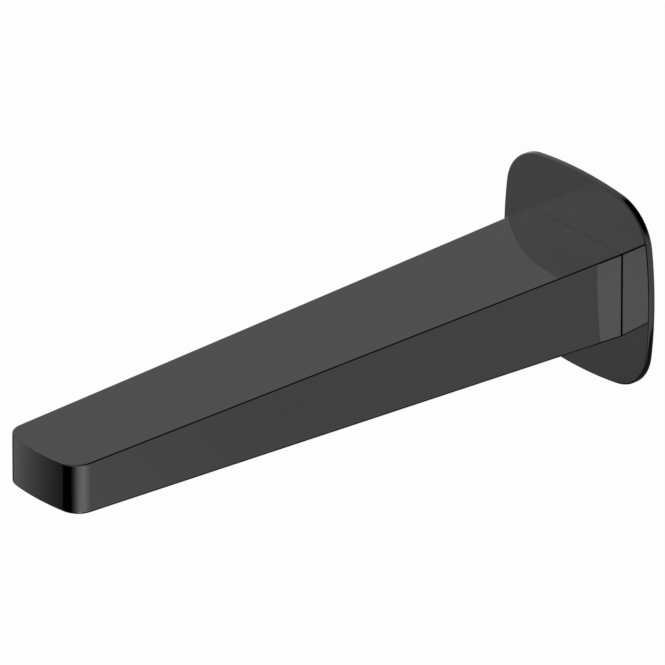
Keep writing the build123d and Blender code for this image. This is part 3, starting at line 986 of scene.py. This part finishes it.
class SPOUT_OT_nipple(bpy.types.Operator):
    """Adds the brass nipple with its inlet thread."""

    bl_idname = "spout.nipple"
    bl_label = "Inlet nipple"

    def execute(self, context):
        sizes = context.scene.nipple
        end = nipple_high.y
        mouth = nipple_low.y
        start = sizes.thread_from_wall
        bm = thread(sizes.thread_radius, sizes.thread_depth, sizes.thread_pitch, start, end, steps=96)
        take_down_crests(bm, sizes.thread_radius, end, sizes.end_chamfer)
        grub_near = -sizes.grub_groove_at + sizes.grub_groove_width / 2
        grub_far = -sizes.grub_groove_at - sizes.grub_groove_width / 2
        profile = [(start, sizes.spigot_radius), (grub_near, sizes.spigot_radius),
                   (grub_near, sizes.grub_groove_radius), (grub_far, sizes.grub_groove_radius),
                   (grub_far, sizes.spigot_radius)]
        for node in ("nipple_o_ring_rear", "nipple_o_ring_front"):
            ring_low, ring_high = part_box(node)
            at = (ring_low.y + ring_high.y) / 2
            near = at + sizes.ring_groove_width / 2
            far = at - sizes.ring_groove_width / 2
            profile += [(near, sizes.spigot_radius), (near, sizes.ring_groove_radius),
                        (far, sizes.ring_groove_radius), (far, sizes.spigot_radius)]
        profile += [(mouth + sizes.mouth_chamfer, sizes.spigot_radius),
                    (mouth, sizes.spigot_radius - sizes.mouth_chamfer), (mouth, sizes.bore_radius),
                    (end, sizes.bore_radius)]
        join(bm, turned(profile))
        close_ring(bm, start)
        close_ring(bm, end)
        tidy(bm)
        key = hexagon(sizes.key, mouth + sizes.key_depth, mouth - sizes.key_depth)
        finish_piece("inlet_nipple_threaded", cut(bm, key), "raw_brass", "inlet_nipple")
        return {"FINISHED"}


class SPOUT_OT_o_rings(bpy.types.Operator):
    """Adds the nipple's two O-rings."""

    bl_idname = "spout.o_rings"
    bl_label = "O-rings"

    def execute(self, context):
        for node in ("nipple_o_ring_rear", "nipple_o_ring_front"):
            low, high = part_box(node)
            section = (high.y - low.y) / 2
            middle = high.x - section
            bm = bmesh.new()
            place = Matrix.Translation((middle, 0, 0))
            ring = bmesh.ops.create_circle(bm, segments=20, radius=section, matrix=place)
            spin_about_y(bm, ring["verts"] + bm.edges[:], steps=96)
            moved(bm, Matrix.Translation((0, (low.y + high.y) / 2, 0)))
            name = node.replace("nipple", "rubber")
            finish_piece(name, bm, "seal_rubber", node, crease=math.pi, even=False)
        return {"FINISHED"}


# The aerator


class SPOUT_OT_aerator_housing(bpy.types.Operator):
    """Adds the aerator's threaded ring."""

    bl_idname = "spout.aerator_housing"
    bl_label = "Aerator housing"

    def execute(self, context):
        sizes = context.scene.aerator
        radius = sizes.thread_radius - sizes.play
        inner = radius - sizes.ring_wall
        low = sizes.set_back
        lip_top = low + sizes.lip
        collar = low + sizes.collar
        edge = sizes.ring_edge
        pitch = sizes.thread_pitch
        # The crests lie a little lower than the collar, so that the ring between them can be closed.
        bm = thread(radius - edge / 2, THREAD_DEPTH * pitch, pitch, collar, sizes.ring_top,
                    steps=96, points=6)
        profile = [(sizes.ring_top, inner), (lip_top, inner), (lip_top, inner - sizes.lip),
                   (low + edge, inner - sizes.lip), (low, inner - sizes.lip + edge), (low, radius - edge),
                   (low + edge, radius), (collar, radius)]
        join(bm, turned(profile))
        close_ring(bm, collar)
        close_ring(bm, sizes.ring_top)
        tidy(bm)
        notches = []
        for k in range(sizes.notches):
            tool = block((radius - sizes.ring_wall, low - sizes.notch_depth, -sizes.notch_width / 2),
                         (radius + sizes.ring_wall, low + sizes.notch_depth, sizes.notch_width / 2))
            notches.append(moved(tool, Matrix.Rotation(k * FULL_TURN / sizes.notches, 4, "Y")))
        bm = moved(cut(bm, *notches), outlet_place(context.scene.spout_body, sizes))
        finish_piece("aerator_housing_threaded", bm, "gunmetal_ring", "aerator_housing")
        return {"FINISHED"}


class SPOUT_OT_aerator_grille(bpy.types.Operator):
    """Adds the honeycomb that the water leaves through."""

    bl_idname = "spout.aerator_grille"
    bl_label = "Aerator grille"

    def execute(self, context):
        sizes = context.scene.aerator
        pitch = sizes.cell + sizes.web
        row_pitch = pitch * math.sqrt(3) / 2
        reach = sizes.disc_radius - sizes.grille_rim - pitch / 2
        rows = int(reach / row_pitch)
        columns = int(reach / pitch) + 1
        cells = bmesh.new()
        for row in range(-rows, rows + 1):
            for column in range(-columns, columns + 1):
                x = (column + (row % 2) / 2) * pitch
                z = row * row_pitch
                if math.hypot(x, z) > reach:
                    continue
                cell = hexagon(sizes.cell, -sizes.grille_thickness, 2 * sizes.grille_thickness)
                join(cells, moved(cell, Matrix.Translation((x, 0, z))))
        bm = cut(prism(96, sizes.disc_radius, 0, sizes.grille_thickness), cells)
        # Joins the many flat pieces that the cut leaves, so that the edges round evenly.
        bmesh.ops.dissolve_limit(bm, angle_limit=math.radians(1), verts=bm.verts, edges=bm.edges)
        bmesh.ops.recalc_face_normals(bm, faces=bm.faces)
        edge = sizes.cell_edge_radius
        at_mouth = [e for e in sharp_edges(bm)
                    if all(v.co.y < edge and math.hypot(v.co.x, v.co.z) < reach + pitch for v in e.verts)]
        round_edges(bm, at_mouth, edge, segments=2)
        above_lip = Matrix.Translation((0, sizes.set_back + sizes.lip, 0))
        place = outlet_place(context.scene.spout_body, sizes) @ above_lip
        finish_piece("aerator_honeycomb", moved(bm, place), "grille_plastic", "aerator_grille")
        return {"FINISHED"}


class SPOUT_OT_aerator_insert(bpy.types.Operator):
    """Dresses the washer and the discs inside the aerator."""

    bl_idname = "spout.aerator_insert"
    bl_label = "Aerator insert"

    def execute(self, context):
        for node in ("aerator_washer", "aerator_strainer", "aerator_diffuser", "aerator_cartridge",
                     "aerator_screen_upper", "aerator_screen_lower"):
            dress(node)
        return {"FINISHED"}


# The stage


def direction(azimuth, elevation):
    """Unit vector towards an angle round the object and above the horizon."""
    flat = math.cos(elevation)
    return Vector((math.sin(azimuth) * flat, -math.cos(azimuth) * flat, math.sin(elevation)))


def flat_square(name, place):
    """A flat square of two units a side, stretched and set at its place."""
    bm = bmesh.new()
    bmesh.ops.create_grid(bm, x_segments=1, y_segments=1, size=1, matrix=place)
    return as_object(name, bm)


def empty_material(name):
    """A material whose nodes are all still to come, and its tree."""
    material = bpy.data.materials.new(name)
    material.use_nodes = True
    material.node_tree.nodes.clear()
    return material, material.node_tree


def card(name, centre, reach, level, soft, height, round_card=True):
    """A card that lies above the floor, seen only in the gloss, and fades out towards its edge."""
    x, y = centre
    reach_x, reach_y = reach
    piece = flat_square(name, Matrix.Translation((x, y, height)) @ Matrix.Diagonal((reach_x, reach_y, 1, 1)))
    material, tree = empty_material(name)
    place = node_of(tree, "ShaderNodeTexCoord")
    centred = node_of(tree, "ShaderNodeMapping", {"Location": (-x / reach_x, -y / reach_y, 0),
                                                  "Scale": (1 / reach_x, 1 / reach_y, 0)})
    fade = node_of(tree, "ShaderNodeMapRange", {"From Min": 1 - soft, "From Max": 1.0, **FALLING})
    glow = node_of(tree, "ShaderNodeEmission", {"Strength": level})
    clear = node_of(tree, "ShaderNodeBsdfTransparent")
    mix = node_of(tree, "ShaderNodeMixShader")
    out = node_of(tree, "ShaderNodeOutputMaterial")
    wire(tree, (place, "Object", centred, "Vector"))
    if round_card:
        length = node_of(tree, "ShaderNodeVectorMath", operation="LENGTH")
        wire(tree,
             (centred, "Vector", length, 0),
             (length, "Value", fade, "Value"))
    else:
        folded = node_of(tree, "ShaderNodeVectorMath", operation="ABSOLUTE")
        parts = node_of(tree, "ShaderNodeSeparateXYZ")
        larger = node_of(tree, "ShaderNodeMath", operation="MAXIMUM")
        wire(tree,
             (centred, "Vector", folded, 0),
             (folded, "Vector", parts, "Vector"),
             (parts, "X", larger, 0),
             (parts, "Y", larger, 1),
             (larger, "Value", fade, "Value"))
    wire(tree,
         (fade, "Result", mix, "Fac"),
         (clear, "BSDF", mix, 1),
         (glow, "Emission", mix, 2),
         (mix, "Shader", out, "Surface"))
    piece.data.materials.append(material)
    piece.visible_camera = False
    piece.visible_diffuse = False
    piece.visible_shadow = False


def floor_material():
    """Pale floor: shadows from its own shading, clean white to the camera, and clear from below."""
    material, tree = empty_material("Pale floor")
    lit = node_of(tree, "ShaderNodeBsdfDiffuse", {"Color": (0.92, 0.92, 0.92, 1)})
    white = node_of(tree, "ShaderNodeEmission", {"Strength": 1.0})
    path = node_of(tree, "ShaderNodeLightPath")
    seen_or_mirrored = node_of(tree, "ShaderNodeMath", operation="MAXIMUM")
    or_through_glass = node_of(tree, "ShaderNodeMath", operation="MAXIMUM")
    # How much of the floor is plain white: this share in mirror images, and this much more to the camera.
    mirrored = 0.6
    more_to_camera = 0.3
    level = node_of(tree, "ShaderNodeMath", operation="MULTIPLY_ADD")
    level.inputs[1].default_value = more_to_camera
    level.inputs[2].default_value = mirrored
    share = node_of(tree, "ShaderNodeMath", operation="MULTIPLY")
    seen = node_of(tree, "ShaderNodeMixShader")
    side = node_of(tree, "ShaderNodeNewGeometry")
    clear = node_of(tree, "ShaderNodeBsdfTransparent")
    mix = node_of(tree, "ShaderNodeMixShader")
    out = node_of(tree, "ShaderNodeOutputMaterial")
    wire(tree,
         (path, "Is Camera Ray", seen_or_mirrored, 0),
         (path, "Is Glossy Ray", seen_or_mirrored, 1),
         (seen_or_mirrored, "Value", or_through_glass, 0),
         (path, "Is Transmission Ray", or_through_glass, 1),
         (path, "Is Camera Ray", level, 0),
         (or_through_glass, "Value", share, 0),
         (level, "Value", share, 1),
         (share, "Value", seen, "Fac"),
         (lit, "BSDF", seen, 1),
         (white, "Emission", seen, 2),
         (side, "Backfacing", mix, "Fac"),
         (seen, "Shader", mix, 1),
         (clear, "BSDF", mix, 2),
         (mix, "Shader", out, "Surface"))
    return material


def world_of(level):
    """Even light from all round, and white behind the object.

    In the gloss it has a dim patch high over the wall's side, for dark edges that face up and to +X.
    """
    world = bpy.data.worlds.new("Studio")
    world.use_nodes = True
    tree = world.node_tree
    tree.nodes.clear()
    place = node_of(tree, "ShaderNodeTexCoord")
    patch = node_of(tree, "ShaderNodeVectorMath", operation="DOT_PRODUCT")
    patch.inputs[1].default_value = direction(math.radians(150), math.radians(48))
    # Cosines of the angles from the patch's middle at which it starts and is darkest.
    start = 0.6
    darkest = 0.88
    dim = node_of(tree, "ShaderNodeMapRange", {"From Min": start, "From Max": darkest, **FALLING},
                  interpolation_type="SMOOTHSTEP")
    in_gloss = node_of(tree, "ShaderNodeMix", {"A": 1.0}, data_type="FLOAT")
    strength = node_of(tree, "ShaderNodeMath", operation="MULTIPLY")
    strength.inputs[1].default_value = level
    path = node_of(tree, "ShaderNodeLightPath")
    soft = node_of(tree, "ShaderNodeBackground", {"Color": (1, 1, 1, 1)})
    white = node_of(tree, "ShaderNodeBackground", {"Color": (1, 1, 1, 1), "Strength": 1.0})
    mix = node_of(tree, "ShaderNodeMixShader")
    out = node_of(tree, "ShaderNodeOutputWorld")
    wire(tree,
         (place, "Generated", patch, 0),
         (patch, "Value", dim, "Value"),
         (path, "Is Glossy Ray", in_gloss, "Factor"),
         (dim, "Result", in_gloss, "B"),
         (in_gloss, "Result", strength, 0),
         (strength, "Value", soft, "Strength"),
         (path, "Is Camera Ray", mix, "Fac"),
         (soft, "Background", mix, 1),
         (white, "Background", mix, 2),
         (mix, "Shader", out, "Surface"))
    return world


def soft_light(name, azimuth, elevation, distance, size, radiance, target):
    """A square soft light that looks at a point from an angle, given in degrees."""
    back = direction(math.radians(azimuth), math.radians(elevation))
    light = bpy.data.lights.new(name, "AREA")
    light.shape = "SQUARE"
    light.size = size
    light.energy = radiance * math.pi * size * size
    lamp = bpy.data.objects.new(name, light)
    lamp.location = Vector(target) + back * distance
    lamp.rotation_euler = back.to_track_quat("Z", "Y").to_euler()
    lamp.visible_camera = False
    bpy.context.scene.collection.objects.link(lamp)


class SPOUT_OT_studio(bpy.types.Operator):
    """Adds the floor, the lights and the camera."""

    bl_idname = "spout.studio"
    bl_label = "Studio"

    def execute(self, context):
        studio = context.scene.studio
        scene = context.scene
        floor_z = -studio.floor_drop
        floor_reach = 3.0
        place = Matrix.Translation((0, 0, floor_z)) @ Matrix.Diagonal((floor_reach, floor_reach, 1, 1))
        floor = flat_square("floor", place)
        floor.data.materials.append(floor_material())
        # The cards lie in layers over the floor, and set how dark or bright it is in the mirror images.
        layer = 2 * MM
        card("front_shade", centre=(-0.03, -0.86), reach=(0.72, 0.72), level=0.0, soft=0.65,
             height=floor_z + layer)
        card("under_shade", centre=(0.01, 0.02), reach=(0.44, 0.46), level=0.1, soft=0.08,
             height=floor_z + 2 * layer, round_card=False)
        card("back_shade", centre=(0.04, 0.78), reach=(0.38, 0.30), level=0.0, soft=0.05,
             height=floor_z + 6 * layer, round_card=False)
        card("far_shade", centre=(-0.62, 0.05), reach=(0.52, 0.52), level=0.0, soft=0.77,
             height=floor_z + 3 * layer)
        card("right_glow", centre=(0.70, -0.26), reach=(0.56, 0.56), level=2.35, soft=0.95,
             height=floor_z + 4 * layer)
        card("low_fill", centre=(0.507, -0.425), reach=(0.074, 0.074), level=21.0, soft=0.12,
             height=floor_z + 5 * layer)
        lit_point = (0, -0.01, 0.01)
        soft_light("key_light", azimuth=-49, elevation=40, distance=1.5, size=0.8,
                   radiance=studio.key_light, target=lit_point)
        soft_light("key_panel", azimuth=-48.2, elevation=27.6, distance=5.0, size=0.2,
                   radiance=studio.panel_light, target=lit_point)
        scene.world = world_of(studio.world_light)
        scene.view_settings.view_transform = "Standard"
        camera = bpy.data.objects.new("camera", bpy.data.cameras.new("camera"))
        camera.data.lens = studio.lens
        camera.data.sensor_width = 36
        back = direction(studio.azimuth, studio.elevation)
        camera.location = Vector(studio.looks_at) + back * studio.distance
        camera.rotation_euler = back.to_track_quat("Z", "Y").to_euler()
        camera.data.clip_start = 0.1
        camera.data.clip_end = 30
        scene.collection.objects.link(camera)
        scene.camera = camera
        return {"FINISHED"}


class SPOUT_PT_panel(bpy.types.Panel):
    """Lists the spout's pieces in the sidebar."""

    bl_idname = "SPOUT_PT_panel"
    bl_label = "Bath spout"
    bl_space_type = "VIEW_3D"
    bl_region_type = "UI"
    bl_category = "Bath spout"

    def draw(self, context):
        for operator in OPERATORS:
            self.layout.operator(operator.bl_idname)


SETTINGS = {
    "spout_body": SpoutBodySizes,
    "aerator": AeratorSizes,
    "wall_plate": WallPlateSizes,
    "plate_screws": ScrewSizes,
    "nipple": NippleSizes,
    "finish_colours": FinishColours,
    "studio": StudioSettings,
}
OPERATORS = [
    SPOUT_OT_body,
    SPOUT_OT_wall_plate,
    SPOUT_OT_gasket,
    SPOUT_OT_plate_screws,
    SPOUT_OT_grub_screw,
    SPOUT_OT_nipple,
    SPOUT_OT_o_rings,
    SPOUT_OT_aerator_housing,
    SPOUT_OT_aerator_grille,
    SPOUT_OT_aerator_insert,
    SPOUT_OT_studio,
]


def register():
    """Registers the settings, the operators and the panel."""
    for name, settings in SETTINGS.items():
        bpy.utils.register_class(settings)
        setattr(bpy.types.Scene, name, bpy.props.PointerProperty(type=settings))
    for item in [*OPERATORS, SPOUT_PT_panel]:
        bpy.utils.register_class(item)


def unregister():
    """Takes back what register did."""
    for item in [SPOUT_PT_panel, *reversed(OPERATORS)]:
        bpy.utils.unregister_class(item)
    for name, settings in SETTINGS.items():
        delattr(bpy.types.Scene, name)
        bpy.utils.unregister_class(settings)


def main():
    """Builds every piece and the stage."""
    register()
    for operator in OPERATORS:
        group, name = operator.bl_idname.split(".")
        getattr(getattr(bpy.ops, group), name)()


if __name__ == "__main__":
    main()
